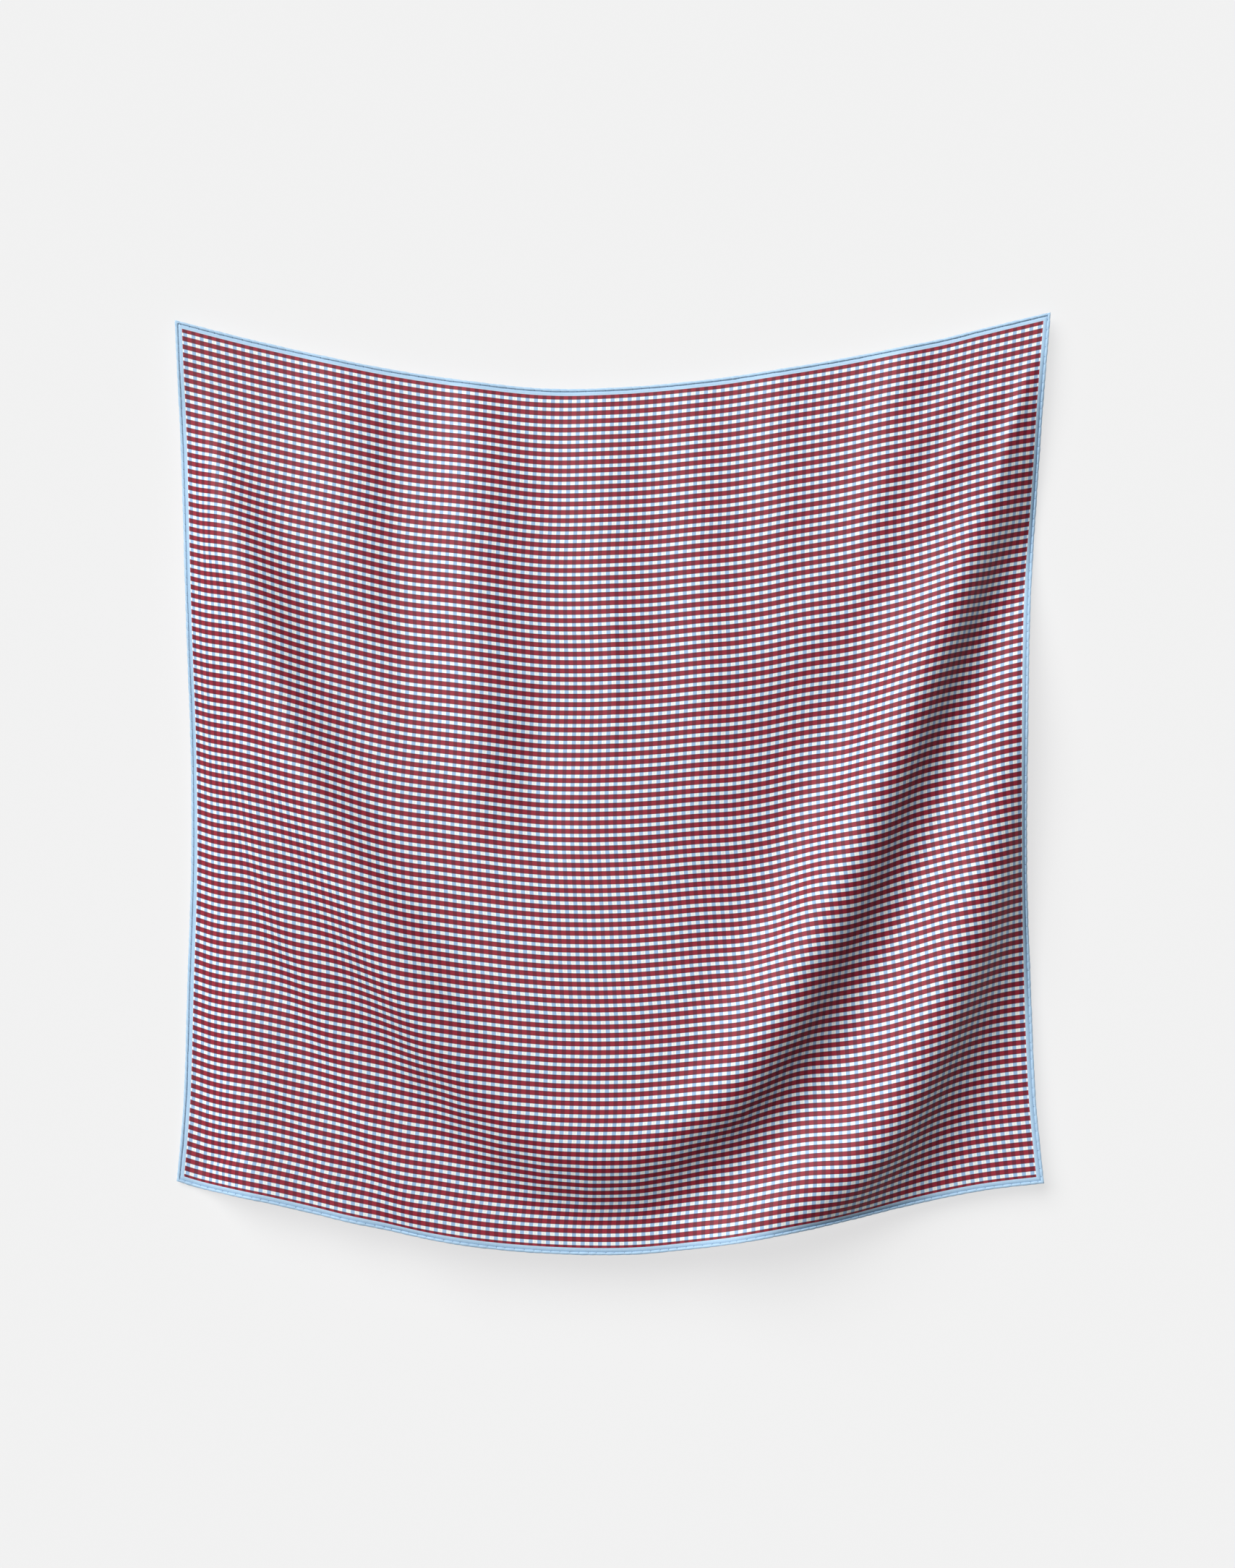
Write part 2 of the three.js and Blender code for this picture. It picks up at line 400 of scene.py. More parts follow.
def fold_lift(fold, across, down):
    """One fold's lift: a bell across its path, and on the right-hand side a smooth step down."""
    distance, right_hand, share = nearest_on_path(fold.path, across, down)
    strength = ramp(share, fold.fade[0]) * ramp(1 - share, fold.fade[1])
    reach = distance / (NARROWEST + (1 - NARROWEST) * strength)
    lift = fold.lift * np.exp(-((reach / np.where(right_hand, *fold.widths)) ** 2))
    lift = lift - np.where(
        right_hand, on_the_way(fold.drop, share) * ramp(reach, on_the_way(fold.over, share)), 0
    )
    return strength * lift


def cloth_lift(across, down, cut_across, cut_down):
    """Lift of the whole cloth: its standing out, a slack belly, and each fold and crease.

    With f the share of the height fallen, it stands out by f times (3 - f) / 2 of the most: quickly
    below the corners and slowly towards the foot.
    """
    fallen = down / cut_down
    lift = STAND_OUT * fallen * (3 - fallen) / 2
    lift = lift + BELLY * np.sin(math.pi * across / cut_across) * np.sin(math.pi * down / cut_down)
    for fold in FOLDS + CREASES:
        lift = lift + fold_lift(fold, across, down)
    return lift


def hem_place(side, share):
    """Places on a hem line at shares of its length, as x and z."""
    line = smooth_curve(HEMS[side], HEM_STEPS)
    length = np.concatenate(([0.0], np.cumsum(np.hypot(*np.diff(line, axis=0).T))))
    length /= length[-1]
    return np.stack((np.interp(share, length, line[:, 0]), np.interp(share, length, line[:, 1])), -1)


def thread_share(lines, lift, axis):
    """How far each thread has come at each grid line, from 0 at one hem to 1 at the other.

    A thread keeps its length, so each step covers the root of its squared length less its
    squared rise.
    """
    step = np.expand_dims(np.diff(lines), 1 - axis)
    rise = np.diff(lift, axis=axis)
    cover = np.sqrt(np.maximum(step**2 - rise**2, (LEAST_COVER * step) ** 2))
    start = np.zeros_like(np.take(lift, [0], axis=axis))
    covered = np.concatenate((start, np.cumsum(cover, axis=axis)), axis=axis)
    return covered / np.take(covered, [-1], axis=axis)


def hung_places(lines_across, lines_down, cut_across, cut_down):
    """Every grid crossing as it hangs, in millimetres: rows of x, y, z.

    On the hanging plane it is the blend from left to right hem, plus the blend from top to
    bottom hem, less the blend of the four corners. It stands out from that plane by its lift.
    """
    across, down = np.meshgrid(lines_across, lines_down)
    lift = cloth_lift(across, down, cut_across, cut_down)
    share = thread_share(lines_across, lift, 1)[..., None]
    fall = thread_share(lines_down, lift, 0)[..., None]
    corner = {
        (side, end): hem_place(side, np.array(float(end)))
        for side in ("top", "bottom")
        for end in (0, 1)
    }
    sides = (1 - share) * hem_place("left", fall[..., 0]) + share * hem_place("right", fall[..., 0])
    ends = (1 - fall) * hem_place("top", share[..., 0]) + fall * hem_place("bottom", share[..., 0])
    corners = (1 - fall) * ((1 - share) * corner["top", 0] + share * corner["top", 1]) + fall * (
        (1 - share) * corner["bottom", 0] + share * corner["bottom", 1]
    )
    flat = sides + ends - corners
    return np.stack((flat[..., 0], -lift, flat[..., 1]), -1)


def unit(vectors):
    """The same directions with length 1."""
    return vectors / np.linalg.norm(vectors, axis=-1, keepdims=True)


def front_normals(places):
    """Direction off the cloth's front: the way right crossed with the way up."""
    right = np.gradient(places, axis=1)
    up = -np.gradient(places, axis=0)
    return unit(np.cross(right, up))


def grid_faces(rows, columns, first=0, flip=False, closed=False):
    """Four-cornered faces of a grid of points, numbered row by row from first."""
    row, column = np.meshgrid(
        np.arange(rows - 1), np.arange(columns if closed else columns - 1), indexing="ij"
    )
    here, below = row * columns, (row + 1) * columns
    after = (column + 1) % columns
    faces = np.stack((here + column, below + column, below + after, here + after), -1).reshape(-1, 4)
    if flip:
        faces = faces[:, ::-1]
    return faces + first


def new_piece(name, places, faces, flat=None, materials=(), face_material=None):
    """A smooth mesh object with its places in millimetres and, if given, its UV map."""
    mesh = bpy.data.meshes.new(name)
    mesh.vertices.add(len(places))
    mesh.vertices.foreach_set("co", (np.asarray(places, float) * MM).ravel())
    corners = np.asarray(faces)
    mesh.loops.add(corners.size)
    mesh.loops.foreach_set("vertex_index", corners.ravel())
    mesh.polygons.add(len(corners))
    mesh.polygons.foreach_set("loop_start", np.arange(len(corners)) * corners.shape[1])
    mesh.update(calc_edges=True)
    mesh.shade_smooth()
    if flat is not None:
        layer = mesh.uv_layers.new(name="Flat cloth")
        layer.data.foreach_set("uv", np.asarray(flat, float)[corners.ravel()].ravel())
    for material in materials:
        mesh.materials.append(material)
    if face_material is not None:
        mesh.polygons.foreach_set("material_index", face_material)
    mesh.validate()
    piece = bpy.data.objects.new(name, mesh)
    bpy.context.scene.collection.objects.link(piece)
    return piece


class Wiring:
    """Adds nodes to a tree and joins them; a value or an output socket may be given as an input."""

    def __init__(self, tree):
        self.tree = tree
        self.made = 0

    def add(self, kind, **settings):
        node = self.tree.nodes.new(kind)
        node.location = (220 * (self.made // 4), -240 * (self.made % 4))
        self.made += 1
        for name, value in settings.items():
            setattr(node, name, value)
        return node

    def feed(self, socket, value):
        if isinstance(value, bpy.types.NodeSocket):
            self.tree.links.new(value, socket)
        elif socket.type == "RGBA":
            socket.default_value = (*value, 1)
        else:
            socket.default_value = value

    def math(self, operation, *values):
        node = self.add("ShaderNodeMath", operation=operation)
        for socket, value in zip(node.inputs, values):
            self.feed(socket, value)
        return node.outputs[0]

    def rise(self, value, start, end, low=0.0, high=1.0):
        """Smooth rise of value from low at start to high at end."""
        node = self.add("ShaderNodeMapRange", interpolation_type="SMOOTHSTEP")
        names = ("Value", "From Min", "From Max", "To Min", "To Max")
        for name, given in zip(names, (value, start, end, low, high)):
            self.feed(node.inputs[name], given)
        return node.outputs[0]

    def mix(self, share, first, second, blend="MIX"):
        node = self.add("ShaderNodeMix", data_type="RGBA", blend_type=blend)
        self.feed(node.inputs[0], share)
        self.feed(node.inputs[6], first)
        self.feed(node.inputs[7], second)
        return node.outputs[2]


def group_tree(name, inputs, outputs):
    """An empty shader node group with named sockets, and its wiring, input and output nodes."""
    tree = bpy.data.node_groups.new(name, "ShaderNodeTree")
    for label, kind in inputs:
        tree.interface.new_socket(label, in_out="INPUT", socket_type=kind)
    for label, kind in outputs:
        tree.interface.new_socket(label, in_out="OUTPUT", socket_type=kind)
    wiring = Wiring(tree)
    return tree, wiring, wiring.add("NodeGroupInput").outputs, wiring.add("NodeGroupOutput").inputs


BLUE_STRIPE = 0.47  # share of a repeat across that is blue
BLUE_MIDDLE = 0.38  # share of a repeat from the left border to the middle of the first blue stripe
RED_STRIPE = 0.6  # share of a repeat down that is burgundy
RED_MIDDLE = 0.174  # share of a repeat from the top border to the middle of the first one
STRIPE_BLUR = 0.045  # share of a repeat over which a stripe's edge runs out
DULL_ACROSS = (0.26, 0.46)  # shares of a repeat from a blue stripe over which the ground dulls
DULL_DOWN = (0.28, 0.46)  # the same from a burgundy stripe
RIM = (0.13, 0.02)  # shares of a repeat inside a burgundy stripe's edge where its rim starts and ends
RIM_DARK = 0.7  # strength of that rim over blue
RIM_OFF_BLUE = 0.55  # share of that strength off the blue
HALO = 1.3  # width of the paler line round the print
HALO_STRENGTH = 0.15
PRINT_BLUR = 0.22  # the print's edge runs out over this much on each side


def check_group():
    """The printed check: upright blue stripes, level burgundy ones and their darker crossings."""
    tree, w, given, out = group_tree(
        "Printed check",
        (
            ("Across", "NodeSocketFloat"), ("Down", "NodeSocketFloat"),
            ("Cut across", "NodeSocketFloat"), ("Cut down", "NodeSocketFloat"),
            ("Border", "NodeSocketFloat"),
            ("Repeats across", "NodeSocketFloat"), ("Repeats down", "NodeSocketFloat"),
            ("Ground", "NodeSocketColor"), ("Ground middle", "NodeSocketColor"),
            ("Blue", "NodeSocketColor"), ("Red", "NodeSocketColor"), ("Crossing", "NodeSocketColor"),
            ("Edge", "NodeSocketColor"), ("Margin", "NodeSocketColor"),
        ),
        (("Color", "NodeSocketColor"), ("Ink", "NodeSocketFloat")),
    )

    def from_stripe(place, cut, repeats, middle):
        """Distance from the nearest stripe's middle line, as a share of a repeat."""
        panel = w.math("SUBTRACT", cut, w.math("MULTIPLY", given["Border"], 2.0))
        inside = w.math("SUBTRACT", place, given["Border"])
        repeat = w.math("DIVIDE", w.math("MULTIPLY", inside, repeats), panel)
        part = w.math("FRACT", w.math("ADD", repeat, 0.5 - middle))
        return w.math("ABSOLUTE", w.math("SUBTRACT", part, 0.5))

    def stripe(distance, width):
        return w.rise(distance, width / 2 - STRIPE_BLUR, width / 2 + STRIPE_BLUR, 1.0, 0.0)

    from_blue = from_stripe(
        given["Across"], given["Cut across"], given["Repeats across"], BLUE_MIDDLE
    )
    from_red = from_stripe(given["Down"], given["Cut down"], given["Repeats down"], RED_MIDDLE)
    blue = stripe(from_blue, BLUE_STRIPE)
    red = stripe(from_red, RED_STRIPE)

    middle = w.math("MULTIPLY", w.rise(from_blue, *DULL_ACROSS), w.rise(from_red, *DULL_DOWN))
    ground = w.mix(middle, given["Ground"], given["Ground middle"])
    pale = w.mix(blue, ground, given["Blue"])
    rim = w.rise(from_red, RED_STRIPE / 2 - RIM[0], RED_STRIPE / 2 - RIM[1], 0.0, RIM_DARK)
    on_blue = w.math("MULTIPLY", blue, 1 - RIM_OFF_BLUE)
    rim = w.math("MULTIPLY", rim, w.math("ADD", on_blue, RIM_OFF_BLUE))
    dark = w.mix(rim, w.mix(blue, given["Red"], given["Crossing"]), given["Edge"])
    printed = w.mix(red, pale, dark)

    def from_border(place, cut):
        """Distance inside the print's edge, below zero in the border."""
        far = w.math("SUBTRACT", w.math("SUBTRACT", cut, given["Border"]), place)
        return w.math("MINIMUM", w.math("SUBTRACT", place, given["Border"]), far)

    inside = w.math(
        "MINIMUM",
        from_border(given["Across"], given["Cut across"]),
        from_border(given["Down"], given["Cut down"]),
    )
    halo = w.rise(inside, -HALO, -HALO / 4, 0.0, HALO_STRENGTH)
    margin = w.mix(halo, given["Margin"], given["Ground"])
    w.feed(out["Color"], w.mix(w.rise(inside, -PRINT_BLUR, PRINT_BLUR), margin, printed))
    w.feed(out["Ink"], red)
    return tree


TWILL_PITCH = 1.15  # from rib to rib of the twill
TWILL_LEAN = (0.83, 0.56)  # direction across the ribs: across and down
TWILL_WAVER = 5.0  # how far the ribs waver, as an angle
SLUB_STRETCH = (1.6, 0.06, 1)  # thicker and thinner threads, long down the cloth


def twill_group():
    """Height of a silk twill: fine steep ribs that waver a little, 0 between them and 1 on them."""
    tree, w, given, out = group_tree(
        "Silk twill",
        (("Across", "NodeSocketFloat"), ("Down", "NodeSocketFloat")),
        (("Height", "NodeSocketFloat"), ("Slub", "NodeSocketFloat")),
    )
    place = w.add("ShaderNodeCombineXYZ")
    w.feed(place.inputs[0], given["Across"])
    w.feed(place.inputs[1], given["Down"])
    waver = w.add("ShaderNodeTexNoise")
    w.feed(waver.inputs["Vector"], place.outputs[0])
    waver.inputs["Scale"].default_value = 0.35
    waver.inputs["Detail"].default_value = 3
    slope = w.math(
        "ADD",
        w.math("MULTIPLY", given["Across"], TWILL_LEAN[0]),
        w.math("MULTIPLY", given["Down"], TWILL_LEAN[1]),
    )
    turn = w.math("MULTIPLY", slope, 2 * math.pi / TWILL_PITCH)
    turn = w.math("ADD", turn, w.math("MULTIPLY", waver.outputs[0], TWILL_WAVER))
    rib = w.math("MULTIPLY", w.math("ADD", w.math("SINE", turn), 1.0), 0.5)
    thread = w.add("ShaderNodeTexNoise")
    stretched = w.add("ShaderNodeMapping")
    stretched.inputs["Scale"].default_value = SLUB_STRETCH
    w.feed(stretched.inputs["Vector"], place.outputs[0])
    w.feed(thread.inputs["Vector"], stretched.outputs[0])
    thread.inputs["Scale"].default_value = 0.9
    thread.inputs["Detail"].default_value = 2
    w.feed(out["Height"], rib)
    w.feed(out["Slub"], thread.outputs[0])
    return tree


def cloth_uv(w, cloth):
    """Across and down in millimetres, from the piece's own UV map."""
    uv = w.add("ShaderNodeUVMap", uv_map="Flat cloth")
    split = w.add("ShaderNodeSeparateXYZ")
    w.feed(split.inputs[0], uv.outputs[0])
    across = w.math("MULTIPLY", split.outputs[0], cloth.across / MM)
    down = w.math("MULTIPLY", w.math("SUBTRACT", 1.0, split.outputs[1]), cloth.down / MM)
    return across, down


SLUB_TONE = 0.955  # brightness in the thinnest threads
RIB_GROOVE_SHADE = 0.965  # painted shade in the grooves between the twill's ribs: brightness there
ROUGH_GROUND = 0.5
ROUGH_INK = 0.56
BACK_PALER = 0.16  # how far the print fades towards the ground on the back


def silk_material(name, paler, check, twill):
    """Printed silk twill. The back of the cloth shows the same print, paler."""
    cloth, dye = bpy.context.scene.scarf_cloth, bpy.context.scene.scarf_print
    material = bpy.data.materials.new(name)
    material.use_nodes = True
    material.node_tree.nodes.clear()
    w = Wiring(material.node_tree)
    across, down = cloth_uv(w, cloth)

    printed = w.add("ShaderNodeGroup", node_tree=check)
    for label, value in (
        ("Across", across), ("Down", down),
        ("Cut across", cloth.across / MM), ("Cut down", cloth.down / MM),
        ("Border", dye.border / MM),
        ("Repeats across", dye.across_repeats), ("Repeats down", dye.down_repeats),
        ("Ground", dye.ground), ("Ground middle", dye.ground_middle),
        ("Blue", dye.blue), ("Red", dye.red), ("Crossing", dye.crossing),
        ("Edge", dye.edge), ("Margin", dye.margin),
    ):
        w.feed(printed.inputs[label], value)

    weave = w.add("ShaderNodeGroup", node_tree=twill)
    w.feed(weave.inputs["Across"], across)
    w.feed(weave.inputs["Down"], down)

    slub_tone_and_groove_shade = w.rise(weave.outputs["Slub"], 0.3, 0.7, SLUB_TONE, 1.0)
    # the threads' random slub tone, times painted shade in the grooves between the twill's ribs, on top
    # of the ribs' bump
    slub_tone_and_groove_shade = w.math("MULTIPLY", slub_tone_and_groove_shade, w.rise(weave.outputs["Height"], 0.0, 1.0, RIB_GROOVE_SHADE, 1.0))
    toned_and_groove_shaded = w.mix(1.0, printed.outputs["Color"], slub_tone_and_groove_shade, "MULTIPLY")
    faded = w.mix(paler, toned_and_groove_shaded, dye.ground)

    bump = w.add("ShaderNodeBump")
    bump.inputs["Strength"].default_value = 0.35
    bump.inputs["Distance"].default_value = 0.00008
    w.feed(bump.inputs["Height"], weave.outputs["Height"])

    shader = w.add("ShaderNodeBsdfPrincipled")
    shader.inputs["Sheen Weight"].default_value = 0.04
    shader.inputs["Sheen Roughness"].default_value = 0.35
    shader.inputs["Specular IOR Level"].default_value = 0.3
    w.feed(shader.inputs["Base Color"], faded)
    roughness = w.rise(printed.outputs["Ink"], 0.0, 1.0, ROUGH_GROUND, ROUGH_INK)
    w.feed(shader.inputs["Roughness"], roughness)
    w.feed(shader.inputs["Normal"], bump.outputs[0])
    surface = w.add("ShaderNodeOutputMaterial")
    w.feed(surface.inputs[0], shader.outputs[0])
    return material


THREAD_GRAIN = 700  # patches of paler dye in each metre
THREAD_PALER = 1.35  # how much brighter they are


def thread_material(name, thread_colour):
    """Sewing silk: a plain dyed thread, a little lighter along some of its length."""
    material = bpy.data.materials.new(name)
    material.use_nodes = True
    material.node_tree.nodes.clear()
    w = Wiring(material.node_tree)
    place = w.add("ShaderNodeTexCoord")
    grain = w.add("ShaderNodeTexNoise")
    w.feed(grain.inputs["Vector"], place.outputs["Object"])
    grain.inputs["Scale"].default_value = THREAD_GRAIN
    shader = w.add("ShaderNodeBsdfPrincipled")
    shader.inputs["Roughness"].default_value = 0.55
    light = tuple(min(1.0, THREAD_PALER * part) for part in thread_colour)
    paler = w.rise(grain.outputs[0], 0.35, 0.65)
    w.feed(shader.inputs["Base Color"], w.mix(paler, tuple(thread_colour), light))
    surface = w.add("ShaderNodeOutputMaterial")
    w.feed(surface.inputs[0], shader.outputs[0])
    return material


def paint_material(name, paint, glow):
    """Matt paint of a lit backdrop. From behind it is left open, to show the cloth's back."""
    material = bpy.data.materials.new(name)
    material.use_nodes = True
    material.node_tree.nodes.clear()
    w = Wiring(material.node_tree)
    shader = w.add("ShaderNodeBsdfPrincipled")
    shader.inputs["Roughness"].default_value = 0.95
    shader.inputs["Specular IOR Level"].default_value = 0.0
    shader.inputs["Base Color"].default_value = (*paint, 1)
    shader.inputs["Emission Color"].default_value = (1, 1, 1, 1)
    shader.inputs["Emission Strength"].default_value = glow
    clear = w.add("ShaderNodeBsdfTransparent")
    side = w.add("ShaderNodeNewGeometry")
    ray = w.add("ShaderNodeLightPath")
    blend = w.add("ShaderNodeMixShader")
    w.feed(blend.inputs[0], w.math("MAXIMUM", side.outputs["Backfacing"], ray.outputs["Is Shadow Ray"]))
    w.feed(blend.inputs[1], shader.outputs[0])
    w.feed(blend.inputs[2], clear.outputs[0])
    surface = w.add("ShaderNodeOutputMaterial")
    w.feed(surface.inputs[0], blend.outputs[0])
    return material


def hem_grid(cloth, hem):
    """Grid lines over the sheet, from the middle of one hem's roll to the middle of the other."""
    inset = hem.width / MM / 2
    across = np.linspace(inset, cloth.across / MM - inset, cloth.cells + 1)
    down = np.linspace(inset, cloth.down / MM - inset, cloth.cells + 1)
    return across, down


def panel_places(cloth, hem):
    """Grid lines, hung places and front normals of the sheet, in millimetres.

    The cut edges themselves are hung too, so that the roll's outer side lies on the hem lines,
    and are then left off.
    """
    across, down = hem_grid(cloth, hem)
    cut_across, cut_down = cloth.across / MM, cloth.down / MM
    to_edges = (np.concatenate(([0], across, [cut_across])), np.concatenate(([0], down, [cut_down])))
    places = hung_places(*to_edges, cut_across, cut_down)[1:-1, 1:-1]
    return across, down, places, front_normals(places)


class SCARF_OT_hang_cloth(bpy.types.Operator):
    """Hangs the printed silk: one closed thin sheet on the tables' folds"""

    bl_idname = "scarf.hang_cloth"
    bl_label = "Hang the cloth"

    def execute(self, context):
        cloth, hem = context.scene.scarf_cloth, context.scene.scarf_hem
        across, down, places, normals = panel_places(cloth, hem)
        rows, columns = places.shape[:2]
        half = cloth.thickness / MM / 2
        count = rows * columns
        both = np.concatenate(
            ((places + half * normals).reshape(-1, 3), (places - half * normals).reshape(-1, 3))
        )
        u, v = np.meshgrid(across * MM / cloth.across, 1 - down * MM / cloth.down)
        flat = np.tile(np.stack((u, v), -1).reshape(-1, 2), (2, 1))

        front = grid_faces(rows, columns)
        back = grid_faces(rows, columns, first=count, flip=True)
        number = np.arange(count).reshape(rows, columns)
        rim = np.concatenate((number[:-1, 0], number[-1, :-1], number[:0:-1, -1], number[0, :0:-1]))
        after = np.roll(rim, -1)
        wall = np.stack((after, rim, rim + count, after + count), -1)
        faces = np.concatenate((front, back, wall))
        face_material = np.concatenate(
            (np.zeros(len(front), int), np.ones(len(back), int), np.zeros(len(wall), int))
        )
        check, twill = check_group(), twill_group()
        silks = (
            silk_material("Silk front", 0.0, check, twill),
            silk_material("Silk back", BACK_PALER, check, twill),
        )
        piece = new_piece("silk_cloth", both, faces, flat, silks, face_material)
        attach(piece, "root")
        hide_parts(CLOTH_NODE)
        return {"FINISHED"}


ROLL_STEP = 1.1  # from section to section of the roll
ROLL_SIDES = 10  # points round a section
ROLL_SEED = 5
ROLL_SEAT = 0.86  # the roll's middle stands off the cloth by this share of its half height
ROLL_FLAT = 0.55  # share of its width that a stitch does not pull in
PULL = 0.26  # share of its height that a stitch pulls in
PULL_REACH = 1.5  # distance from a stitch over which the pull dies away
PITCH_SPREAD = 0.14  # share of the pitch by which a stitch may lie off its place
# unevenness of the roll: waves round the whole hem, their height as a share, and their start
ROLL_WAVES = ((61, 0.05, 0.0), (137, 0.04, 1.3), (223, 0.03, 0.4))


def hem_path(cloth, hem):
    """The closed line down the middle of the roll, in millimetres and from corner to corner.

    Gives places, front normals, outward directions and flat places, with a section at each
    corner that faces out along the corner's diagonal and is wider by the root of two.
    """
    across, down, places, normals = panel_places(cloth, hem)
    grid_across, grid_down = np.meshgrid(across, down)
    facts = np.concatenate((places, normals, grid_across[..., None], grid_down[..., None]), -1)
    inwards = {
        "left": places[:, 1] - places[:, 0], "bottom": places[-2] - places[-1],
        "right": places[:, -2] - places[:, -1], "top": places[1] - places[0],
    }
    sides = (
        (facts[:, 0], inwards["left"]),
        (facts[-1], inwards["bottom"]),
        (facts[::-1, -1], inwards["right"][::-1]),
        (facts[0, ::-1], inwards["top"][::-1]),
    )
    pieces = []
    for edge, inward in sides:
        whole = np.concatenate((edge, -unit(inward)), -1)
        fine = smooth_curve(whole, 4 * len(whole))
        step = np.linalg.norm(np.diff(fine[:, :3], axis=0), axis=1)
        length = np.concatenate(([0.0], np.cumsum(step)))
        at = np.linspace(0, length[-1], round(length[-1] / ROLL_STEP) + 1)
        pieces.append(np.stack([np.interp(at, length, column) for column in fine.T], -1))
    widths = []
    for k, here in enumerate(pieces):
        following = pieces[(k + 1) % len(pieces)]
        diagonal = unit(here[-1, 8:] + following[0, 8:])
        here[-1, 8:] = diagonal
        widths.append(np.ones(len(here) - 1))
        widths[-1][0] = math.sqrt(2)
    for k, here in enumerate(pieces):
        here[0, 8:] = pieces[k - 1][-1, 8:]
    path = np.concatenate([here[:-1] for here in pieces])
    return path[:, :3], unit(path[:, 3:6]), unit(path[:, 8:]), path[:, 6:8], np.concatenate(widths)


def stitch_marks(places, pitch, seed):
    """How far along the closed hem each section is, and where its uneven stitches fall."""
    step = np.linalg.norm(np.roll(places, -1, axis=0) - places, axis=1)
    along = np.concatenate(([0.0], np.cumsum(step)[:-1]))
    whole = step.sum()
    count = round(whole / pitch)
    spread = np.random.default_rng(seed).uniform(-PITCH_SPREAD, PITCH_SPREAD, count)
    return along, whole, (np.arange(count) + 0.5 + spread) * whole / count


class SCARF_OT_roll_hem(bpy.types.Operator):
    """Rolls the hem towards the front: a flattened bead round the sheet, pulled in at each stitch"""

    bl_idname = "scarf.roll_hem"
    bl_label = "Roll the hem"

    def execute(self, context):
        cloth, hem = context.scene.scarf_cloth, context.scene.scarf_hem
        places, normals, outwards, flat, widths = hem_path(cloth, hem)
        along, whole, marks = stitch_marks(places, hem.stitch_pitch / MM, ROLL_SEED)
        gap = np.abs(along[:, None] - marks[None, :])
        gap = np.minimum(gap, whole - gap).min(axis=1)
        pull = 1 - PULL * np.exp(-((gap / PULL_REACH) ** 2))
        turn = 2 * math.pi * along / whole
        uneven = 1 + sum(height * np.sin(waves * turn + start) for waves, height, start in ROLL_WAVES)
        half_width = hem.width / MM / 2 * widths
        half_height = hem.height / MM / 2 * pull * uneven
        lean = np.linspace(0, 2 * math.pi, ROLL_SIDES, endpoint=False)
        half_width = half_width * (ROLL_FLAT + (1 - ROLL_FLAT) * pull) * uneven
        out = np.cos(lean)[None, :, None] * half_width[:, None, None]
        rise = (np.sin(lean)[None, :, None] + ROLL_SEAT) * half_height[:, None, None]
        points = places[:, None] + out * outwards[:, None] + rise * normals[:, None]
        faces = grid_faces(len(places) + 1, ROLL_SIDES, closed=True) % (len(places) * ROLL_SIDES)
        size = np.array((cloth.across, cloth.down)) / MM
        shown = flat / size
        shown[:, 1] = 1 - shown[:, 1]
        uv = np.repeat(shown, ROLL_SIDES, axis=0)
        piece = new_piece(
            "rolled_hem", points.reshape(-1, 3), faces, uv, (bpy.data.materials["Silk front"],),
        )
        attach(piece, "root")
        return {"FINISHED"}


STITCH_POINTS = 6  # sections along a stitch
STITCH_SIDES = 6  # points round a section
STITCH_START = 0.15  # share of the quarter turn that lies before a stitch
STITCH_INWARD = (0.25, 1.45)  # from the roll's middle line inwards: at the crown, and added at the foot
STITCH_HEIGHT = (0.15, 1.05)  # off the cloth: at the foot, and added at the crown
STITCH_SLANT = 0.7  # how far a stitch leans along the hem
STITCH_TURN = 0.3  # how far its sections turn outwards


class SCARF_OT_sew_stitches(bpy.types.Operator):
    """Sews the roll down: one short slanting stitch in each dimple of the hem"""

    bl_idname = "scarf.sew_stitches"
    bl_label = "Sew the stitches"

    def execute(self, context):
        cloth, hem = context.scene.scarf_cloth, context.scene.scarf_hem
        places, normals, outwards, _, _ = hem_path(cloth, hem)
        along, _, marks = stitch_marks(places, hem.stitch_pitch / MM, ROLL_SEED)

        def at(values):
            """Values of the path's sections, read where the stitches fall."""
            return np.stack([np.interp(marks, along, column) for column in values.T], -1)

        foot, normal, outward = at(places), unit(at(normals)), unit(at(outwards))
        forward = np.cross(normal, outward)
        # a quarter turn from the roll's crown down its inner side and into the border
        bend = np.linspace(STITCH_START, 1.0, STITCH_POINTS)[None, :, None]
        turn = bend * math.pi / 2
        inward = -outward[:, None] * (STITCH_INWARD[0] + STITCH_INWARD[1] * np.sin(turn))
        height = normal[:, None] * (STITCH_HEIGHT[0] + STITCH_HEIGHT[1] * np.cos(turn))
        slant = forward[:, None] * (bend - 0.5) * STITCH_SLANT
        line = foot[:, None] + inward + height + slant
        ahead = unit(np.gradient(line, axis=1))
        side = unit(np.cross(ahead, normal[:, None] + STITCH_TURN * outward[:, None]))
        lift = np.cross(side, ahead)
        lean = np.linspace(0, 2 * math.pi, STITCH_SIDES, endpoint=False)
        radius = hem.thread / MM / 2
        sideways = np.cos(lean)[None, None, :, None] * side[:, :, None]
        ring = radius * (sideways + np.sin(lean)[None, None, :, None] * lift[:, :, None])
        points = line[:, :, None] + ring
        each = points.shape[1] * points.shape[2]
        one = grid_faces(points.shape[1], points.shape[2], closed=True)
        faces = (one[None] + each * np.arange(len(marks))[:, None, None]).reshape(-1, 4)
        piece = new_piece(
            "hem_stitches", points.reshape(-1, 3), faces,
            materials=(thread_material("Sewing silk", hem.thread_colour),),
        )
        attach(piece, "root")
        return {"FINISHED"}


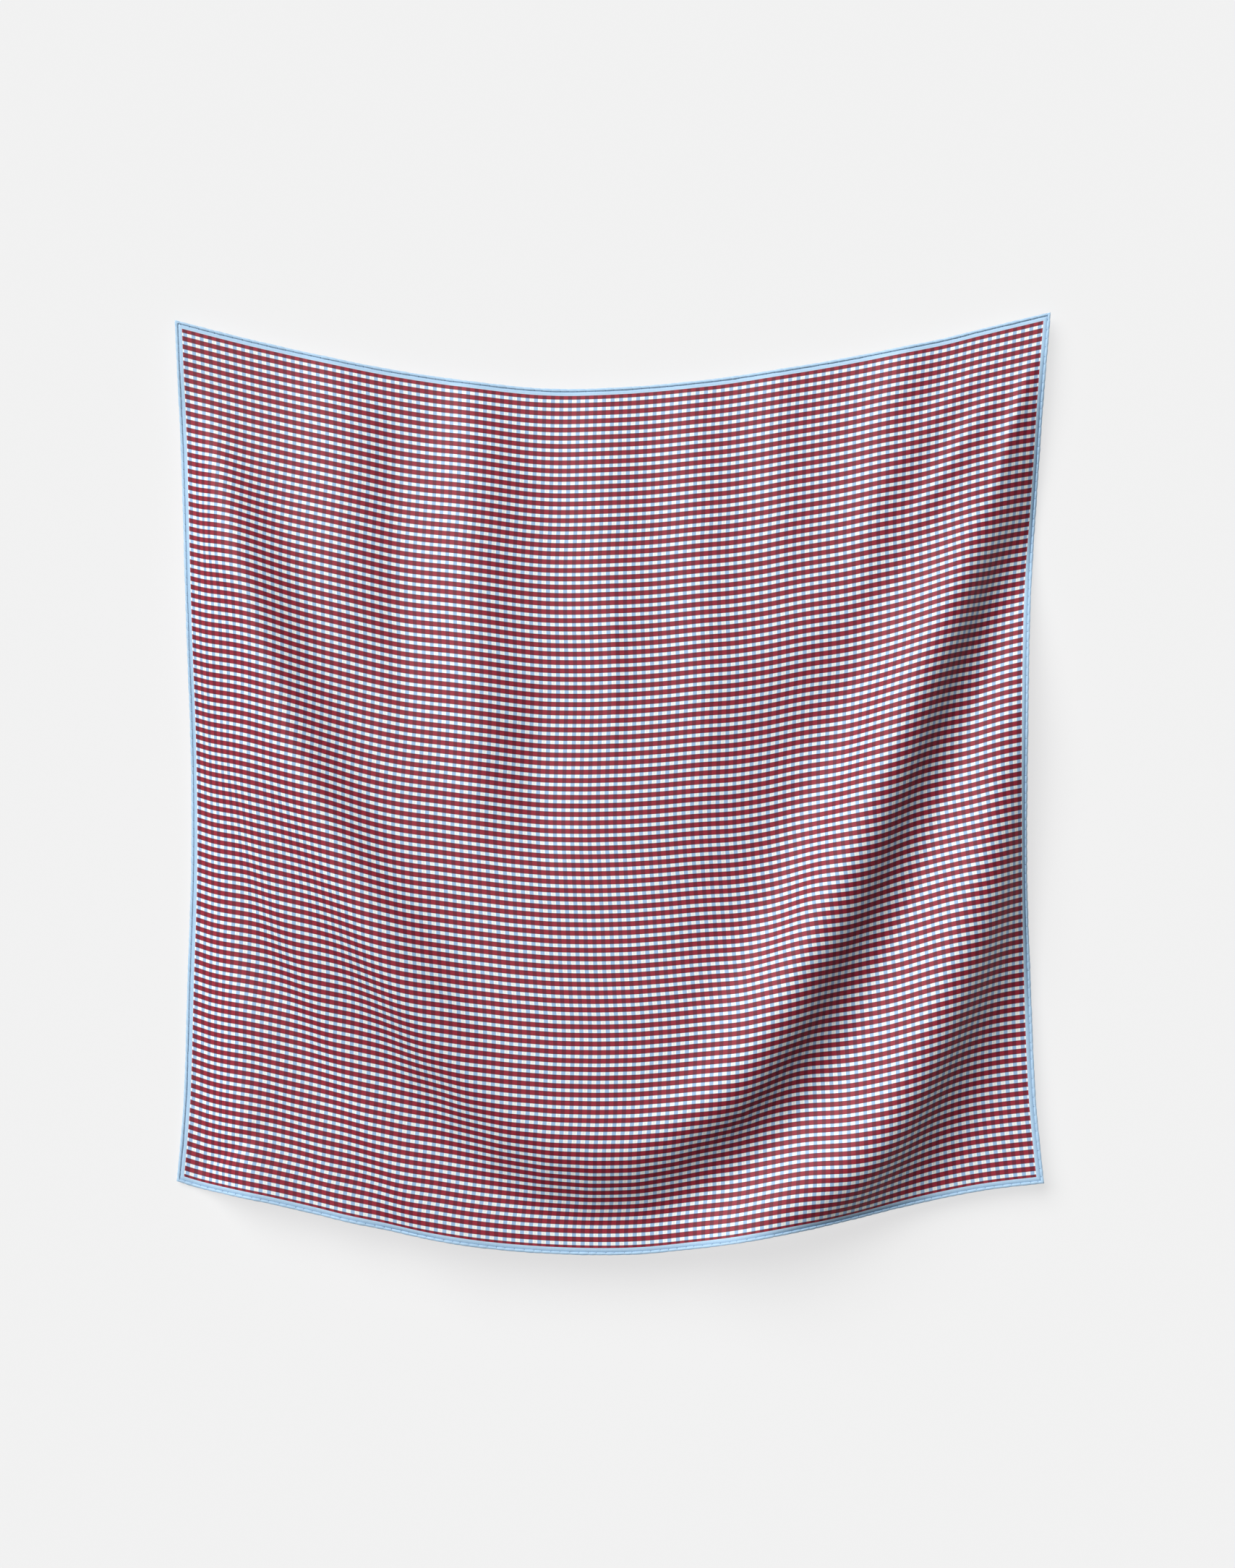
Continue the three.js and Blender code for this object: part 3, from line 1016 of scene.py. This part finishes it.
# the photograph's frame on the hanging plane, in metres
VIEW_WIDTH = 1.235
VIEW_MIDDLE = (0.0047, -0.468)
CAMERA_AWAY = 5.0
CAMERA_REACH = 50.0  # the farthest the camera sees
SENSOR = 36.0  # width of the camera's sensor, in millimetres

# where each distant light comes from, and how wide it is, in degrees
KEY_FROM = (-0.6, -1, 0.75)
KEY_WIDTH = 50
BACK_FROM = (0.5, 1, 0.5)
BACK_WIDTH = 40
BACK_STRENGTH = 0.8


class SCARF_OT_set_stage(bpy.types.Operator):
    """Sets the wall, lights and camera"""

    bl_idname = "scarf.set_stage"
    bl_label = "Set the stage"

    def execute(self, context):
        scene = context.scene
        stage = scene.scarf_stage
        reach, behind = stage.wall_size / MM / 2, stage.wall_behind / MM
        x, z = np.meshgrid((-reach, reach), (reach, -reach))
        wall = new_piece(
            "wall", np.stack((x, np.full_like(x, behind), z), -1).reshape(-1, 3), grid_faces(2, 2),
            materials=(paint_material("Pale paint", stage.wall_colour, stage.wall_glow),),
        )

        for name, comes_from, strength, width in (
            ("key_light", KEY_FROM, stage.key, KEY_WIDTH),
            ("back_light", BACK_FROM, BACK_STRENGTH, BACK_WIDTH),
        ):
            light = bpy.data.lights.new(name, "SUN")
            light.energy = strength
            light.angle = math.radians(width)
            lamp = bpy.data.objects.new(name, light)
            lamp.rotation_mode = "QUATERNION"
            lamp.rotation_quaternion = Vector(comes_from).to_track_quat("Z", "Y")
            scene.collection.objects.link(lamp)

        world = bpy.data.worlds.new("room_light")
        world.use_nodes = True
        background = world.node_tree.nodes["Background"]
        background.inputs["Color"].default_value = (1, 1, 1, 1)
        background.inputs["Strength"].default_value = stage.sky
        scene.world = world

        camera = bpy.data.cameras.new("camera")
        camera.sensor_fit = "HORIZONTAL"
        camera.sensor_width = SENSOR
        camera.lens = SENSOR * CAMERA_AWAY / VIEW_WIDTH
        camera.clip_end = CAMERA_REACH
        seen_from = bpy.data.objects.new("camera", camera)
        seen_from.location = (VIEW_MIDDLE[0], -CAMERA_AWAY, VIEW_MIDDLE[1])
        seen_from.rotation_euler = (math.pi / 2, 0, 0)
        scene.collection.objects.link(seen_from)
        scene.camera = seen_from
        scene.view_settings.view_transform = "Standard"
        return {"FINISHED"}


OPERATORS = (SCARF_OT_hang_cloth, SCARF_OT_roll_hem, SCARF_OT_sew_stitches, SCARF_OT_set_stage)
SETTINGS = {
    "scarf_cloth": ScarfCloth,
    "scarf_print": ScarfPrint,
    "scarf_hem": ScarfHem,
    "scarf_stage": ScarfStage,
}


class SCARF_PT_panel(bpy.types.Panel):
    """Sizes, colours and steps of the scarf"""

    bl_idname = "SCARF_PT_panel"
    bl_label = "Silk Scarf"
    bl_space_type = "VIEW_3D"
    bl_region_type = "UI"
    bl_category = "Silk Scarf"

    def draw(self, context):
        for name, kind in SETTINGS.items():
            box = self.layout.box()
            for field in kind.__annotations__:
                box.prop(getattr(context.scene, name), field)
        for operator in OPERATORS:
            self.layout.operator(operator.bl_idname)


def register():
    for kind in (*SETTINGS.values(), *OPERATORS, SCARF_PT_panel):
        bpy.utils.register_class(kind)
    for name, kind in SETTINGS.items():
        setattr(bpy.types.Scene, name, PointerProperty(type=kind))


def unregister():
    for name in SETTINGS:
        delattr(bpy.types.Scene, name)
    for kind in reversed((*SETTINGS.values(), *OPERATORS, SCARF_PT_panel)):
        bpy.utils.unregister_class(kind)


def main():
    register()
    bpy.ops.scarf.hang_cloth()
    bpy.ops.scarf.roll_hem()
    bpy.ops.scarf.sew_stitches()
    bpy.ops.scarf.set_stage()


if __name__ == "__main__":
    main()
